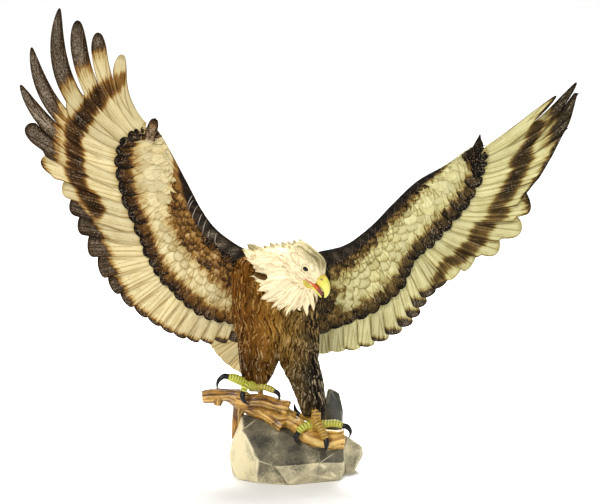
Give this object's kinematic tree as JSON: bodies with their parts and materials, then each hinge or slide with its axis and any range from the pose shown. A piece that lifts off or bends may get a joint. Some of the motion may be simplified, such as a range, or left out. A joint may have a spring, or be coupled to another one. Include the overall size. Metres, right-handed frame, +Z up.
{
  "type": "carved wooden bald eagle statue",
  "caption": "Hand-carved, painted wooden statue of a bald eagle landing with raised wings, its feet on a branch over a faceted rock base.",
  "frame": {"origin": "middle of the rock's flat underside, on the surface the statue stands on", "axes": "+Z up, +X to the viewer's right along the wing span, +Y away from the viewer: the statue faces -Y"},
  "size_m": [0.4653, 0.1427, 0.3931],
  "materials": {
    "white_feathers": "carved linden wood, painted white with warm brown washes in the grooves, satin",
    "brown_feathers": "carved linden wood, painted dark brown with scratched light grooves, satin",
    "cream_feathers": "carved linden wood, painted cream with dark brown bands and dark tips, satin",
    "yellow_paint": "carved wood, painted yellow-green, semi-gloss",
    "red_paint": "carved wood, painted orange-red, semi-gloss",
    "black_paint": "carved wood, painted black, glossy",
    "eye_paint": "small round bead painted black, glossy",
    "branch_wood": "carved wood with gouge marks, golden-brown stain, satin",
    "rock_wood": "wood block chiselled into facets, painted stone grey, satin"
  },
  "bodies": {
    "root": {"bill_lower": "yellow_paint", "bill_upper": "yellow_paint", "branch_log": "branch_wood", "branch_main": "branch_wood", "branch_stem": "branch_wood", "branch_stub": "branch_wood", "eye_l": "eye_paint", "eye_r": "eye_paint", "foot_l": "yellow_paint", "foot_r": "yellow_paint", "head": "white_feathers", "leg_l": "brown_feathers", "leg_r": "brown_feathers", "mouth": "red_paint", "neck": "white_feathers", "rock_main": "rock_wood", "rock_side": "rock_wood", "rock_spire": "rock_wood", "tail": "cream_feathers", "talon_l_1": "black_paint", "talon_l_2": "black_paint", "talon_l_3": "black_paint", "talon_l_4": "black_paint", "talon_r_1": "black_paint", "talon_r_2": "black_paint", "talon_r_3": "black_paint", "talon_r_4": "black_paint", "trunk": "brown_feathers", "wing_l_alula": "brown_feathers", "wing_l_arm": "brown_feathers", "wing_l_coverts": "cream_feathers", "wing_l_primary_1": "cream_feathers", "wing_l_primary_2": "cream_feathers", "wing_l_primary_3": "cream_feathers", "wing_l_primary_4": "cream_feathers", "wing_l_primary_5": "cream_feathers", "wing_l_primary_6": "cream_feathers", "wing_l_primary_7": "cream_feathers", "wing_l_primary_8": "cream_feathers", "wing_l_primary_9": "cream_feathers", "wing_l_secondaries": "cream_feathers", "wing_r_alula": "brown_feathers", "wing_r_arm": "brown_feathers", "wing_r_coverts": "cream_feathers", "wing_r_primary_1": "cream_feathers", "wing_r_primary_2": "cream_feathers", "wing_r_primary_3": "cream_feathers", "wing_r_primary_4": "cream_feathers", "wing_r_primary_5": "cream_feathers", "wing_r_primary_6": "cream_feathers", "wing_r_primary_7": "cream_feathers", "wing_r_primary_8": "cream_feathers", "wing_r_secondaries": "cream_feathers"}
  },
  "joints": []
}
